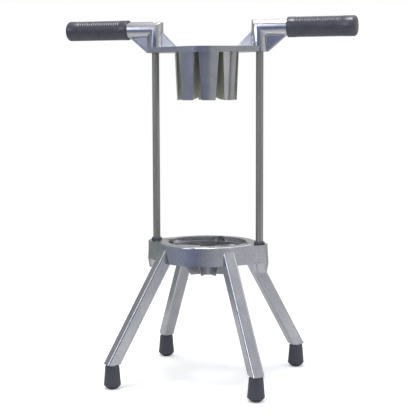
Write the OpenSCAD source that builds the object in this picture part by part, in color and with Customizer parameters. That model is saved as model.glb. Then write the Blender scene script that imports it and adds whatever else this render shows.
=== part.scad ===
// Hand-operated apple wedger and corer.
// A cast ring on four splayed legs holds eight wedge blades round a corer tube.
// A cast head with two hand grips slides on a pair of fixed guide rods and
// presses eight tapered fingers down between the blades.
// Origin: on the table, midway between the four feet. X runs along the handles,
// -Y is the front and Z is up. The head is drawn raised.

/* [Guide rods] */
// Distance between the two guide rods, centre to centre
rod_spacing = 128; // [126:0.5:140]
// Diameter of each guide rod
rod_d = 8.6; // [7:0.1:9.6]
// How far the top of a rod stays below the top of the elbow it runs in
rod_top_setback = 4; // [2:0.5:8]

/* [Base ring] */
// Height of the ring's rim above the table
rim_z = 163.2; // [150:0.1:190]
// Outer diameter of the ring
ring_d = 115; // [112:0.5:117]
// Height of the ring, rim to underside
ring_h = 21.9; // [20:0.1:26]
// Diameter of the throat that the fruit goes down
throat_d = 92; // [90:0.5:94]
// How far each pointed notch reaches out beyond the throat
notch_reach = 6; // [5:0.1:7]
// Depth from the rim down to the ledge that carries the blade frame
ledge_depth = 9.3; // [9:0.1:11]
// Width of that ledge
ledge_w = 5; // [4.5:0.1:5.5]
// How far the rim stands above the two rod ears
rim_rise = 0.6; // [0.4:0.1:3]
// Diameter, at the top, of the round bosses that the rods stand in
boss_d = 18.5; // [17:0.5:20]
// Their widest diameter, at the level of the ring's underside
boss_wide_d = 21.5; // [20:0.5:23]
// Their diameter at the lower end
boss_low_d = 18; // [17:0.5:20]
// How far those bosses hang below the ring
boss_drop = 11; // [7:0.5:12]
// Radius of the rounded edges of the rim
rim_round = 1.6; // [0.6:0.1:2]

/* [Legs and feet] */
// Distance between neighbouring feet, centre to centre
foot_spacing = 172; // [160:1:190]
// Width of the square leg bar
leg_w = 14.5; // [13:0.1:15]
// Radius of the leg bar's long edges
leg_edge_r = 1.6; // [0.8:0.1:3]
// How far a leg goes up into its socket in the ring
leg_insert = 11.6; // [8:0.1:12]
// Height above the ring's underside at which a leg's axis passes its outer wall
leg_rise = 0.9; // [0:0.1:2]
// Diameter of the round spigot that a foot is pushed on
spigot_d = 12; // [10:0.1:12.6]
// Length of the spigot inside the foot
spigot_l = 18; // [10:0.5:20]
// Stretch of spigot that shows between leg and foot
spigot_show = 1.5; // [0.5:0.1:3]
// Height of a rubber foot
foot_h = 27.4; // [25:0.1:34]
// Diameter of a foot at its top
foot_top_d = 16.2; // [15.4:0.1:18]
// Widest diameter of a foot
foot_d = 19.8; // [18:0.1:24]
// Diameter of the flat that a foot stands on
foot_flat_d = 9; // [8:0.5:15]
// Height at which a foot is widest
foot_bevel_h = 5; // [2:0.1:6]
// How far the underside of a foot bulges out between its flat and its widest edge
foot_bulge = 0.3; // [0:0.1:0.5]

/* [Blades] */
// Number of wedge blades
blade_count = 8; // [8]
// Thickness of a blade
blade_t = 0.8; // [0.5:0.1:1.2]
// Height of the lower edge of the blades above the table, below the ledge
blade_drop = 29; // [24:0.5:34]
// Distance from the axis to the lower outer corner of a blade
blade_low_r = 21.5; // [16:0.5:28]
// Height of the ground cutting edge
edge_h = 1.6; // [0.8:0.1:2.4]
// Thickness left at the very edge
edge_t = 0.16; // [0.1:0.02:0.3]
// Outer diameter of the corer tube
corer_d = 19.6; // [17:0.1:20.4]
// Wall of the corer tube
corer_wall = 0.8; // [0.5:0.1:1.2]
// How far the corer stands above the blades
corer_lead = 0.8; // [0.2:0.1:0.8]
// Thickness of the frame that the blades are held in
frame_h = 4; // [3:0.1:4.6]
// Width of the round part of that frame
frame_w = 3; // [2.5:0.1:3.4]

/* [Head] */
// Height of the head plate's underside above the rim, head raised
head_lift = 221.2; // [200:0.1:240]
// Thickness of the head plate
plate_t = 6.3; // [5.5:0.1:8]
// How far the round middle of the head plate stands out past the pusher
plate_margin = 0.7; // [0.2:0.1:3]
// Diameter of the posts, elbows and arms
arm_d = 19; // [17:0.5:19.5]
// Height of the arm axis above the plate's underside
arm_rise = 27.1; // [25:0.5:34]
// Span over both grips
handle_span = 352.8; // [340:0.1:400]
// Thickness of the webs in the gussets
web_t = 3; // [2:0.1:5]
// Width of the flange along each outer gusset
flange_w = 7; // [6:0.5:12]
// Thickness of that flange
flange_t = 1.8; // [1:0.1:3]
// Leg length of the small gusset on the inner side of each post
inner_gusset = 15.7; // [10:0.1:16]

/* [Pusher] */
// Diameter of the pusher at the plate
pusher_top_d = 74.6; // [72:0.1:75]
// Diameter of the pusher at its lower end
pusher_low_d = 69.6; // [66:0.1:71]
// Length of the fingers
finger_l = 55.1; // [50:0.1:60]
// Width of the gaps between fingers at the plate
gap_top_w = 5.5; // [4.5:0.1:7]
// Width of the gaps at the lower ends
gap_low_w = 11.3; // [9:0.1:13]
// Depth of the hollow that centres the fruit
cup_depth = 5.5; // [3:0.1:8]
// Clearance of the pusher's core hole round the corer
core_clear = 1.2; // [0.8:0.1:2]

/* [Grips] */
// Length of a grip
grip_l = 78.9; // [76:0.1:95]
// Outer diameter of a grip
grip_d = 23.2; // [22.6:0.1:28]
// Thickness of the closed end of a grip
grip_end_t = 4.5; // [3:0.1:7]
// Radius of the rounded end of a grip
grip_round = 4; // [2:0.1:5]
// Plain stretch at the inner end of a grip, before its first rib
rib_lead = 8.7; // [6:0.1:10]
// Number of ribs on a grip
rib_count = 19; // [12:1:22]
// Distance from one rib to the next
rib_pitch = 2.85; // [2.4:0.05:3]
// Depth of the grooves between ribs
rib_depth = 0.55; // [0.3:0.05:0.8]

/* [Bumpers and bushings] */
// Outer diameter of the rubber bumpers
bumper_d = 13; // [12:0.1:13]
// Diameter of the top face of a bumper
bumper_top_d = 10.4; // [10:0.1:11]
// Height of the bumpers
bumper_h = 3.4; // [2:0.1:4]
// Outer diameter of the rod bushings
bushing_d = 12.6; // [11.6:0.1:13.4]
// Length of the rod bushings
bushing_l = 20; // [14:0.5:24]

/* [Screws] */
// Thread diameter of the leg and pusher screws
screw_d = 5; // [4:0.5:5]
// Thread diameter of the two blade frame screws
frame_screw_d = 2.5; // [2:0.1:2.8]
// Length of the leg screws
leg_screw_l = 16; // [12:0.5:18]
// Length of the pusher screws
pusher_screw_l = 16; // [12:0.5:24]
// Length of the blade frame screws
frame_screw_l = 9; // [7:0.5:10]

/* [Hidden] */
$fn = 96;

// Clearances: sliding fit on the rods, snug fits, and cast sockets
slide_gap = 0.06;
snug_gap = 0.05;
socket_gap = 0.1;
// Overlap of cutting shapes past the faces that they open
over = 1;
// Radius of a countersunk head as a share of the thread diameter
screw_head_ratio = 0.95;
// Step from a boss in to the straight edge of the plate that runs up to it
ear_setback = 0.3;

// Rods
rod_x = rod_spacing / 2;
rod_r = rod_d / 2;
boss_r = boss_d / 2;
boss_low_r = boss_low_d / 2;
arm_r = arm_d / 2;

// Levels of the base
ear_z = rim_z - rim_rise;
ring_z = rim_z - ring_h;
boss_z = ring_z - boss_drop;
ledge_z = rim_z - ledge_depth;
ring_r = ring_d / 2;
throat_r = throat_d / 2;
bore_r = throat_r - ledge_w;
notch_r = throat_r + notch_reach;

// Levels of the head
plate_z = rim_z + head_lift;
plate_top = plate_z + plate_t;
plate_r = pusher_top_d / 2 + plate_margin;
arm_z = plate_z + arm_rise;
rod_top = arm_z + arm_r - rod_top_setback;

// Legs: the axis of each bar passes the ring's outer wall just above its lower edge
leg_z = foot_h + spigot_show;
foot_r = foot_spacing / sqrt(2);
lean = atan2(foot_r - ring_r, ring_z + leg_rise - leg_z);
leg_top = ring_z + leg_insert;
leg_turns = [225, 315, 45, 135];

// Screws that hold the legs, in the wall between bore and socket
leg_screw_z = ring_z + leg_insert / 2;
leg_screw_r = bore_r + 0.6;
frame_screw_r = throat_r + notch_reach * 0.2;
set_screw_z = ring_z - boss_drop / 2;
pusher_screw_r = pusher_low_d * 0.31;

// Blades
blade_low = ledge_z - blade_drop;
blade_top = ledge_z + frame_h;
frame_in_r = throat_r - socket_gap - frame_w;
slot_floor = frame_h / 4;
slot_r = frame_in_r + frame_w / 2;
corer_r = corer_d / 2;

// Pusher
hub_r = pusher_top_d * 0.4;
hub_h = plate_t / 2;
core_hole_r = corer_r + core_clear;
finger_turn = 180 / blade_count;

// Grips
grip_x = handle_span / 2 - grip_l;
arm_end = handle_span / 2 - grip_end_t;
gusset_x = grip_x - 1.5;

// ---------------------------------------------------------------- outlines

// Plate outline that runs from a round middle of radius mid_r, along tangents,
// to a round boss of radius end_r at each rod
module ear_outline(mid_r, end_r) {
    tip_r = end_r - ear_setback;
    turn = acos((mid_r - tip_r) / rod_x);
    mid = mid_r * [cos(turn), sin(turn)];
    end = [rod_x, 0] + tip_r * [cos(turn), sin(turn)];
    polygon([
        [end.x, end.y], [mid.x, mid.y], [-mid.x, mid.y], [-end.x, end.y],
        [-end.x, -end.y], [-mid.x, -mid.y], [mid.x, -mid.y], [end.x, -end.y]
    ]);
}

// Round opening with four pointed notches, on the X and Y axes
module notched_outline(round_r, point_r) {
    circle(round_r);
    rotate(45) square(point_r * sqrt(2), center = true);
}

// Square with rounded corners, centred
module rounded_square(width, edge_r) {
    inner = width - 2 * edge_r;
    square([width, inner], center = true);
    square([inner, width], center = true);
    for (x = [-1, 1], y = [-1, 1])
        translate([x, y] * inner / 2) circle(edge_r);
}

// Points of a quarter round about a centre, from angle a0 through 90 degrees
function quarter(centre, r, a0, steps = 6) =
    [for (i = [0:steps]) centre + r * [cos(a0 + 90 * i / steps), sin(a0 + 90 * i / steps)]];

// ------------------------------------------------------------- small parts

// Countersunk screw or its hole, head up, top face at z = 0; grow adds clearance
module flat_screw(thread_d, length, grow = 0) {
    thread_r = thread_d / 2 + grow;
    head_r = thread_d * screw_head_ratio + grow;
    head_h = head_r - thread_r;
    translate([0, 0, -length - grow]) cylinder(h = length + grow, r = thread_r);
    translate([0, 0, -head_h]) cylinder(h = head_h, r1 = thread_r, r2 = head_r);
    if (grow > 0) cylinder(h = over, r = head_r);
}

// Hexagon key socket, for cutting into a screw head at z = 0
module key_socket(across, depth) {
    translate([0, 0, -depth]) cylinder(h = depth + over, d = across, $fn = 6);
}

module at_rod(side) translate([side * rod_x, 0, 0]) children();

// Places a screw of a leg: axis radial, head towards the ring's bore
module at_leg_screw() translate([leg_screw_r, 0, leg_screw_z]) rotate([0, -90, 0]) children();

// ------------------------------------------------------------- base

// One leg's bar, in the XZ plane, grown on all sides and not yet trimmed
module leg_bar(grow = 0) {
    reach = (ring_z - leg_z) / cos(lean);
    translate([foot_r, 0, leg_z]) rotate([0, -lean, 0])
        translate([0, 0, -leg_w]) linear_extrude(reach + 3 * leg_w)
            rounded_square(leg_w + 2 * grow, leg_edge_r + grow);
}

// Space that a leg's upper end takes in the ring
module leg_socket() {
    intersection() {
        leg_bar(socket_gap);
        translate([0, -leg_w, ring_z - over])
            cube([ring_r + leg_w, 2 * leg_w, leg_insert + socket_gap + over]);
    }
}

module ring_body() {
    rotate_extrude() polygon(concat(
        [[bore_r - over, ring_z], [ring_r, ring_z]],
        quarter([ring_r - rim_round, rim_z - rim_round], rim_round, 0),
        [[bore_r - over, rim_z]]
    ));
    translate([0, 0, ring_z]) linear_extrude(ear_z - ring_z)
        ear_outline(ring_r, boss_r);
    for (side = [-1, 1]) at_rod(side) {
        translate([0, 0, ring_z])
            cylinder(h = ear_z - ring_z, d1 = boss_wide_d, d2 = boss_d);
        translate([0, 0, boss_z])
            cylinder(h = boss_drop, d1 = boss_low_d, d2 = boss_wide_d);
    }
}

module base_casting() {
    color("silver") difference() {
        ring_body();
        translate([0, 0, boss_z]) cylinder(h = ring_h + boss_drop + over, r = bore_r);
        translate([0, 0, ledge_z]) linear_extrude(ledge_depth + over)
            notched_outline(throat_r, notch_r);
        for (side = [-1, 1]) at_rod(side) {
            translate([0, 0, boss_z - over])
                cylinder(h = ring_h + boss_drop + 2 * over, r = rod_r + snug_gap);
            translate([0, 0, set_screw_z]) rotate([-90, 0, 0])
                cylinder(h = boss_wide_d, d = screw_d + 2 * snug_gap);
        }
        for (turn = leg_turns) rotate(turn) {
            leg_socket();
            at_leg_screw() flat_screw(screw_d, leg_screw_l, snug_gap);
        }
        for (side = [-1, 1]) translate([0, side * frame_screw_r, ledge_z])
            translate([0, 0, frame_h - frame_screw_l - snug_gap])
                cylinder(h = frame_screw_l, d = frame_screw_d + 2 * snug_gap);
    }
}

module leg(turn) {
    color("silver") rotate(turn) difference() {
        union() {
            intersection() {
                leg_bar();
                translate([0, -leg_w, leg_z])
                    cube([foot_r + 2 * leg_w, 2 * leg_w, leg_top - leg_z]);
            }
            translate([foot_r, 0, foot_h - spigot_l])
                cylinder(h = spigot_l + spigot_show + leg_w / 4, d = spigot_d);
        }
        at_leg_screw() flat_screw(screw_d, leg_screw_l, snug_gap);
    }
}

module leg_screws() {
    color("dimgray") for (turn = leg_turns) rotate(turn) at_leg_screw()
        difference() {
            flat_screw(screw_d, leg_screw_l);
            key_socket(screw_d * 0.7, screw_d * 0.4);
        }
}

// Rubber foot: conical cup with a rounded lower edge and a flat to stand on
module foot(turn) {
    top_round = 1;
    side_in = (foot_d - foot_flat_d) / 2;
    hole_r = spigot_d / 2 + snug_gap;
    hole_z = foot_h - spigot_l - snug_gap;
    color("darkslategray") rotate(turn) translate([foot_r, 0, 0])
        rotate_extrude() polygon(concat(
            [for (i = [0:6]) let (out = foot_bulge * sin(30 * i)) [
                foot_flat_d / 2 + side_in * i / 6 + out,
                foot_bevel_h * i / 6 - out
            ]],
            quarter([foot_top_d / 2 - top_round, foot_h - top_round], top_round, 0, 4),
            [[hole_r, foot_h], [hole_r, hole_z], [0, hole_z], [0, 0]]
        ));
}

module guide_rod(side) {
    tip = rod_d / 10;
    low = boss_z + 1;
    color("slategray") at_rod(side) rotate_extrude() polygon([
        [0, low], [rod_r - tip, low], [rod_r, low + tip],
        [rod_r, rod_top - tip], [rod_r - tip, rod_top], [0, rod_top]
    ]);
}

// Rubber bumper: a low cylinder that tapers to its top face
module rod_bumper(side) {
    color("darkslategray") at_rod(side) translate([0, 0, ear_z])
        rotate_extrude() polygon([
            [rod_r + snug_gap, 0], [bumper_d / 2, 0], [bumper_d / 2, bumper_h / 2],
            [bumper_top_d / 2, bumper_h], [rod_r + snug_gap, bumper_h]
        ]);
}

// One grub screw through the back of each boss, its tip just off the rod
module rod_set_screws() {
    tip_y = rod_r + snug_gap;
    end_y = boss_low_r - 0.8;
    color("dimgray") for (side = [-1, 1]) at_rod(side)
        translate([0, 0, set_screw_z]) rotate([-90, 0, 0]) difference() {
            translate([0, 0, tip_y]) cylinder(h = end_y - tip_y, d = screw_d);
            translate([0, 0, end_y]) key_socket(screw_d / 2, screw_d / 3);
        }
}

// ------------------------------------------------------------- blades

module blade_frame() {
    slot_w = blade_t + 2 * snug_gap;
    color("gainsboro") translate([0, 0, ledge_z]) difference() {
        linear_extrude(frame_h)
            notched_outline(throat_r - socket_gap, notch_r - 2 * socket_gap);
        translate([0, 0, -over]) cylinder(h = frame_h + 2 * over, r = frame_in_r);
        for (i = [0:blade_count - 1]) rotate(360 / blade_count * i)
            translate([frame_in_r - over, -slot_w / 2, slot_floor])
                cube([slot_r - frame_in_r + over, slot_w, frame_h]);
        for (side = [-1, 1]) translate([0, side * frame_screw_r, frame_h])
            flat_screw(frame_screw_d, frame_h + over, snug_gap);
    }
}

// One blade, lying along +X: tab in the frame, slanted lower end, ground edge
module wedge_blade() {
    tab_r = slot_r - snug_gap;
    tab_z = ledge_z + slot_floor + snug_gap;
    clear_r = bore_r - 0.5;
    slant = (ledge_z - blade_low) / (frame_in_r - blade_low_r);
    difference() {
        intersection() {
            rotate([90, 0, 0]) linear_extrude(blade_t, center = true) polygon([
                [0, blade_low], [blade_low_r, blade_low],
                [clear_r, blade_low + slant * (clear_r - blade_low_r)],
                [clear_r, tab_z], [tab_r, tab_z], [tab_r, blade_top], [0, blade_top]
            ]);
            rotate([90, 0, 90]) linear_extrude(throat_r) polygon([
                [-blade_t / 2, blade_low], [blade_t / 2, blade_low],
                [blade_t / 2, blade_top - edge_h], [edge_t / 2, blade_top],
                [-edge_t / 2, blade_top], [-blade_t / 2, blade_top - edge_h]
            ]);
        }
        translate([0, 0, blade_low - over])
            cylinder(h = blade_top - blade_low + 2 * over, r = corer_r + snug_gap);
    }
}

module wedge_blades() {
    color("gainsboro") for (i = [0:blade_count - 1])
        rotate(360 / blade_count * i) wedge_blade();
}

module corer_tube() {
    in_r = corer_r - corer_wall;
    top = blade_top + corer_lead;
    color("gainsboro") rotate_extrude() polygon([
        [in_r, blade_low], [corer_r, blade_low],
        [corer_r, top - edge_h], [in_r + edge_t, top], [in_r, top]
    ]);
}

module blade_frame_screws() {
    color("dimgray") for (side = [-1, 1])
        translate([0, side * frame_screw_r, blade_top]) difference() {
            flat_screw(frame_screw_d, frame_screw_l);
            key_socket(frame_screw_d * 0.7, frame_screw_d * 0.4);
        }
}

// ------------------------------------------------------------- head

// Post and arm of one side, meeting at a sharp mitre
module elbow() {
    big = 3 * arm_d;
    difference() {
        translate([rod_x, 0, plate_z]) cylinder(h = arm_rise + arm_r, r = arm_r);
        translate([rod_x, 0, arm_z]) rotate([0, 45, 0])
            translate([-big / 2, -big / 2, 0]) cube(big);
    }
    difference() {
        translate([rod_x - arm_r, 0, arm_z]) rotate([0, 90, 0]) {
            cylinder(h = arm_end - rod_x + arm_r - 1, r = arm_r);
            translate([0, 0, arm_end - rod_x + arm_r - 1])
                cylinder(h = 1, r1 = arm_r, r2 = arm_r - 1);
        }
        translate([rod_x, 0, arm_z]) rotate([0, 45, 0])
            translate([-big / 2, -big / 2, -big]) cube(big);
    }
}

// Web and flange between post and arm, and the small web towards the middle
module gussets() {
    foot_x = rod_x + arm_r;
    under = arm_z - arm_r + 1;
    run = [gusset_x - foot_x, under - plate_z];
    skew = flange_t * norm(run) / run.y;
    rotate([90, 0, 0]) {
        linear_extrude(web_t, center = true)
            polygon([[rod_x, plate_z], [foot_x, plate_z], [gusset_x, under], [rod_x, under]]);
        linear_extrude(flange_w, center = true)
            polygon([
                [foot_x - skew, plate_z], [foot_x, plate_z],
                [gusset_x, under], [gusset_x - skew, under]
            ]);
        linear_extrude(2 * web_t, center = true)
            polygon([
                [rod_x, plate_top - 1], [rod_x - arm_r - inner_gusset, plate_top - 1],
                [rod_x - arm_r - inner_gusset, plate_top],
                [rod_x - arm_r, plate_top + inner_gusset], [rod_x, plate_top + inner_gusset]
            ]);
    }
}

module at_pusher_screws() {
    for (x_side = [0, 180], y_side = [-1, 1]) rotate(x_side + y_side * finger_turn)
        translate([pusher_screw_r, 0, plate_top]) children();
}

module head_casting() {
    color("silver") difference() {
        union() {
            translate([0, 0, plate_z]) linear_extrude(plate_t) {
                circle(plate_r);
                ear_outline(plate_r, arm_r);
            }
            for (side = [0, 1]) mirror([side, 0, 0]) {
                elbow();
                gussets();
            }
        }
        for (side = [-1, 1]) at_rod(side) {
            translate([0, 0, plate_z - over])
                cylinder(h = bushing_l + over, d = bushing_d + 2 * snug_gap);
            translate([0, 0, plate_z]) cylinder(h = arm_rise + arm_d, r = rod_r + 0.8);
        }
        translate([0, 0, plate_z - over])
            cylinder(h = hub_h + over + snug_gap, r = hub_r + snug_gap);
        at_pusher_screws() flat_screw(screw_d, plate_t + over, snug_gap);
    }
}

module rod_bushing(side) {
    color("peru") at_rod(side) translate([0, 0, plate_z]) rotate_extrude() polygon([
        [rod_r + slide_gap, 0], [bushing_d / 2, 0],
        [bushing_d / 2, bushing_l - snug_gap], [rod_r + slide_gap, bushing_l - snug_gap]
    ]);
}

// Wedge that widens downwards, for the gap between two fingers
module finger_gap() {
    drop = finger_l + over;
    low_w = gap_low_w + (gap_low_w - gap_top_w) * over / finger_l;
    rotate([90, 0, 90]) linear_extrude(pusher_top_d, center = true) polygon([
        [-gap_top_w / 2, plate_z], [-low_w / 2, plate_z - drop],
        [low_w / 2, plate_z - drop], [gap_top_w / 2, plate_z]
    ]);
}

module pusher_block() {
    low_z = plate_z - finger_l;
    color("silver") difference() {
        union() {
            translate([0, 0, low_z])
                cylinder(h = finger_l, d1 = pusher_low_d, d2 = pusher_top_d);
            translate([0, 0, plate_z]) cylinder(h = hub_h, r = hub_r);
        }
        for (i = [0:blade_count / 2 - 1]) rotate(360 / blade_count * i) finger_gap();
        translate([0, 0, low_z - over]) cylinder(h = finger_l + over, r = core_hole_r);
        translate([0, 0, low_z]) cylinder(h = cup_depth, d1 = pusher_low_d, d2 = 0);
        at_pusher_screws() translate([0, 0, -pusher_screw_l - snug_gap])
            cylinder(h = pusher_screw_l, d = screw_d + 2 * snug_gap);
    }
}

module pusher_screws() {
    color("dimgray") at_pusher_screws() difference() {
        flat_screw(screw_d, pusher_screw_l);
        key_socket(screw_d * 0.7, screw_d * 0.4);
    }
}

// Ribbed sleeve with a closed, rounded end, drawn along its own axis
module grip(side) {
    out_r = grip_d / 2;
    in_r = arm_r + snug_gap;
    lip = 0.6;
    low_r = out_r - rib_depth;
    last = handle_span / 2;
    color("darkslategray") mirror([side < 0 ? 1 : 0, 0, 0])
        translate([0, 0, arm_z]) rotate([0, 90, 0]) rotate_extrude() polygon(concat(
            [[in_r, grip_x], [out_r - lip, grip_x], [out_r, grip_x + lip]],
            [for (i = [0:rib_count - 1]) let (x = grip_x + rib_lead + i * rib_pitch)
                each [
                    [out_r, x], [low_r, x + rib_pitch * 0.12],
                    [low_r, x + rib_pitch * 0.32], [out_r, x + rib_pitch * 0.44]
                ]],
            quarter([out_r - grip_round, last - grip_round], grip_round, 0),
            [[0, last], [0, arm_end + snug_gap], [in_r, arm_end + snug_gap]]
        ));
}

// ------------------------------------------------------------- assembly

base_casting();
guide_rod(-1);  // guide_rod_left
guide_rod(1);  // guide_rod_right
rod_bumper(-1);  // rod_bumper_left
rod_bumper(1);  // rod_bumper_right
rod_set_screws();
leg(leg_turns[0]);  // leg_front_left
leg(leg_turns[1]);  // leg_front_right
leg(leg_turns[2]);  // leg_rear_right
leg(leg_turns[3]);  // leg_rear_left
leg_screws();
foot(leg_turns[0]);  // foot_front_left
foot(leg_turns[1]);  // foot_front_right
foot(leg_turns[2]);  // foot_rear_right
foot(leg_turns[3]);  // foot_rear_left
blade_frame();
wedge_blades();
corer_tube();
blade_frame_screws();
head_casting();
rod_bushing(-1);  // rod_bushing_left
rod_bushing(1);  // rod_bushing_right
pusher_block();
pusher_screws();
grip(-1);  // grip_left
grip(1);  // grip_right
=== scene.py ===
# %% [markdown]
# Hand-operated wedger press, dressed for a studio picture.
#
# The real object is mostly cast aluminium, linished where the hand or the eye meets it and left
# as it came from the sand elsewhere, with rubber feet and grips, ground steel rods and thin
# steel blades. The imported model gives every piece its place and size. This lesson rebuilds the
# castings, legs, feet and grips with soft edges, and gives every surface its finish.

# %% Load the frame
from math import acos, atan2, cos, degrees, hypot, pi, radians, sin, sqrt

import bpy
from mathutils import Matrix, Vector


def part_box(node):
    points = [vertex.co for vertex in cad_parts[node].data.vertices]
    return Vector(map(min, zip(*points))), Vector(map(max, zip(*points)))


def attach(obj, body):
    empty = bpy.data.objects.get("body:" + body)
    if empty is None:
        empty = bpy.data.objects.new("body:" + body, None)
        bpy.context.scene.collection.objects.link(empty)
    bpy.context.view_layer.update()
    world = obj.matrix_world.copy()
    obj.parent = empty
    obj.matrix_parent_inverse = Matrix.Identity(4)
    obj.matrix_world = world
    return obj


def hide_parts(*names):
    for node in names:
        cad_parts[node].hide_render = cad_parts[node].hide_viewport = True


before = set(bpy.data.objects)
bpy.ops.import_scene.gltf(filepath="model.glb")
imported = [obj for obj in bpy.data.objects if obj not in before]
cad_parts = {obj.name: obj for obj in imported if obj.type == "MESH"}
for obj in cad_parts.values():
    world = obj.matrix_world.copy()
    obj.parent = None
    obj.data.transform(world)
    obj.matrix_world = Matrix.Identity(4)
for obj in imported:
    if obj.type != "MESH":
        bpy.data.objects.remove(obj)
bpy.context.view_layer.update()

# %% [markdown]
# The photograph was taken from the right, a little above the ring and below the handles, with a
# long lens. A camera with those values, found by fitting the rods, ring and feet, makes the
# picture comparable point by point. Its place is given by the turn about the object, the
# distance and the height, because those can be measured in a real studio with tape and level.

# %% Camera
MM = 0.001
CAMERA_TURN = radians(19.12)
CAMERA_DISTANCE = 1326.5 * MM
CAMERA_HEIGHT = 340.88 * MM
CAMERA_SIDE = 0.32 * MM
CAMERA_DOWN = radians(5.92)
CAMERA_ROLL = radians(-0.15)
PICTURE_WIDTH = 415
FOCAL_PIXELS = 1132.82

to_right = Vector((cos(CAMERA_TURN), sin(CAMERA_TURN), 0))
to_object = Vector((-sin(CAMERA_TURN), cos(CAMERA_TURN), 0))
bpy.ops.object.select_all(action="DESELECT")
bpy.ops.object.camera_add(
    location=Vector((0, 0, CAMERA_HEIGHT)) + CAMERA_SIDE * to_right - CAMERA_DISTANCE * to_object
)
camera = bpy.context.object
camera.name = "camera"
camera.data.sensor_width = 36
camera.data.lens = camera.data.sensor_width * FOCAL_PIXELS / PICTURE_WIDTH
camera.rotation_euler = (
    Matrix.Rotation(CAMERA_TURN, 3, "Z")
    @ Matrix.Rotation(pi / 2 - CAMERA_DOWN, 3, "X")
    @ Matrix.Rotation(CAMERA_ROLL, 3, "Z")
).to_euler()
bpy.context.scene.camera = camera
bpy.context.scene.view_settings.view_transform = "Standard"
print("camera at", [round(v, 4) for v in camera.location], "lens", round(camera.data.lens, 2))

# %% [markdown]
# Materials are node trees. Written by hand they are long and hard to read, so one small class
# holds a socket and lets Python's own signs add the Math nodes, and one method makes any other
# node. Everything after this reads like a formula.

# %% Sockets with arithmetic
class Wire:
    """An output socket, or a number, that can be added, multiplied and compared."""

    def __init__(self, tree, socket):
        self.tree, self.socket = tree, socket

    def math(self, operation, *others):
        return self.tree.node("ShaderNodeMath", {"operation": operation}, [self, *others])

    def __add__(self, other):
        return self.math("ADD", other)

    def __sub__(self, other):
        return self.math("SUBTRACT", other)

    def __rsub__(self, other):
        return (self * -1.0).math("ADD", other)

    def __mul__(self, other):
        return self.math("MULTIPLY", other)

    def __gt__(self, other):
        return self.math("GREATER_THAN", other)

    __radd__, __rmul__ = __add__, __mul__

    def between(self, low, high):
        """0 below low, 1 above high and a soft step in between."""
        return self.tree.node(
            "ShaderNodeMapRange", {"interpolation_type": "SMOOTHSTEP"}, [self, low, high, 0.0, 1.0]
        )


# %% One method for all other nodes
class Tree:
    """The nodes of a material or of the world."""

    def __init__(self, owner):
        owner.use_nodes = True
        self.nodes, self.links = owner.node_tree.nodes, owner.node_tree.links
        self.nodes.clear()

    def node(self, kind, settings=None, sockets=(), out=0):
        made = self.nodes.new(kind)
        for key, value in (settings or {}).items():
            if key == "stops":
                while len(made.color_ramp.elements) < len(value):
                    made.color_ramp.elements.new(1.0)
                for stop, (place, colour) in zip(made.color_ramp.elements, value):
                    stop.position, stop.color = place, (*colour, 1.0)
            else:
                setattr(made, key, value)
        pairs = sockets.items() if isinstance(sockets, dict) else enumerate(sockets)
        for key, value in pairs:
            if isinstance(value, Wire):
                self.links.new(value.socket, made.inputs[key])
            elif value is not None:
                made.inputs[key].default_value = value
        return Wire(self, made.outputs[out]) if made.outputs else made

    def colour_mix(self, share, first, second):
        first, second = [c if isinstance(c, Wire) else (*c, 1.0) for c in (first, second)]
        settings = {"data_type": "RGBA"}
        return self.node("ShaderNodeMix", settings, {0: share, 6: first, 7: second}, out=2)

    def noise(self, place, scale, detail=2.0, roughness=0.5):
        values = {"Vector": place, "Scale": scale, "Detail": detail, "Roughness": roughness}
        return self.node("ShaderNodeTexNoise", {}, values)

    def stretched(self, place, stretch):
        """The same place with its axes scaled, for grain that runs one way."""
        settings = {"operation": "MULTIPLY"}
        return self.node("ShaderNodeVectorMath", settings, [place, Vector(stretch)])

    def axes(self, vector):
        parts = self.node("ShaderNodeSeparateXYZ", {}, [vector]).socket.node.outputs
        return [Wire(self, parts[axis]) for axis in "XYZ"]

    def rays(self):
        """Whether a ray comes from the camera, and whether it left a shiny surface."""
        path = self.node("ShaderNodeLightPath").socket.node.outputs
        return [Wire(self, path[name]) for name in ("Is Camera Ray", "Is Glossy Ray")]

    def bump(self, height, strength, depth):
        values = {"Height": height, "Strength": strength, "Distance": depth}
        return self.node("ShaderNodeBump", {}, values)


# %% A material with its surface shader
def surface(name, constants, varying):
    """Makes a material; varying is a function that takes its tree and gives the linked inputs."""
    material = bpy.data.materials.new(name)
    tree = Tree(material)
    place = tree.node("ShaderNodeTexCoord", out="Object")
    shader = tree.node("ShaderNodeBsdfPrincipled", {}, {**constants, **varying(tree, place)})
    tree.node("ShaderNodeOutputMaterial", {}, {"Surface": shader})
    print("material", name, "with", len(tree.nodes), "nodes")
    return material


# %% [markdown]
# One casting can carry two finishes, as the head does: the sides of its inner gussets were never
# ground, and all the rest was. A finish that changes from place to place has to know where the
# places are, so the few sizes that it needs are read or written down here, before the finishes.

# %% Sizes that a finish needs
PLATE_THICKNESS = 6.3
ARM_R = 9.5
INNER_GUSSET = 16.8
SKIN_MARGIN = 0.2
EDGE_MARGIN = 0.3
PUSHER_TOP_R = 37.3
PUSHER_LOW_R = 34.8
FINGER_LENGTH = 55.1
FINGER_ROUND = 0.9
plate_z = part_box("head_casting")[0].z / MM
plate_top = plate_z + PLATE_THICKNESS
finger_z = plate_z - FINGER_LENGTH
rod_low, rod_high = [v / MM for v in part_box("guide_rod_right")]
rod_x = (rod_low.x + rod_high.x) / 2
gusset_slant = plate_top + INNER_GUSSET - EDGE_MARGIN - (rod_x - ARM_R)
print("plate top at", round(plate_top, 2), "and rods at", round(rod_x, 2))
print("fingers down to", round(finger_z, 2))

# %% [markdown]
# The castings are linished aluminium: bright, but with the fine speckle that the belt leaves
# over closed pores, faint drag marks, and patches where the metal is duller. Polished metal has
# almost no colour of its own, so the detail lies in the roughness and in a very fine relief.

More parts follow.
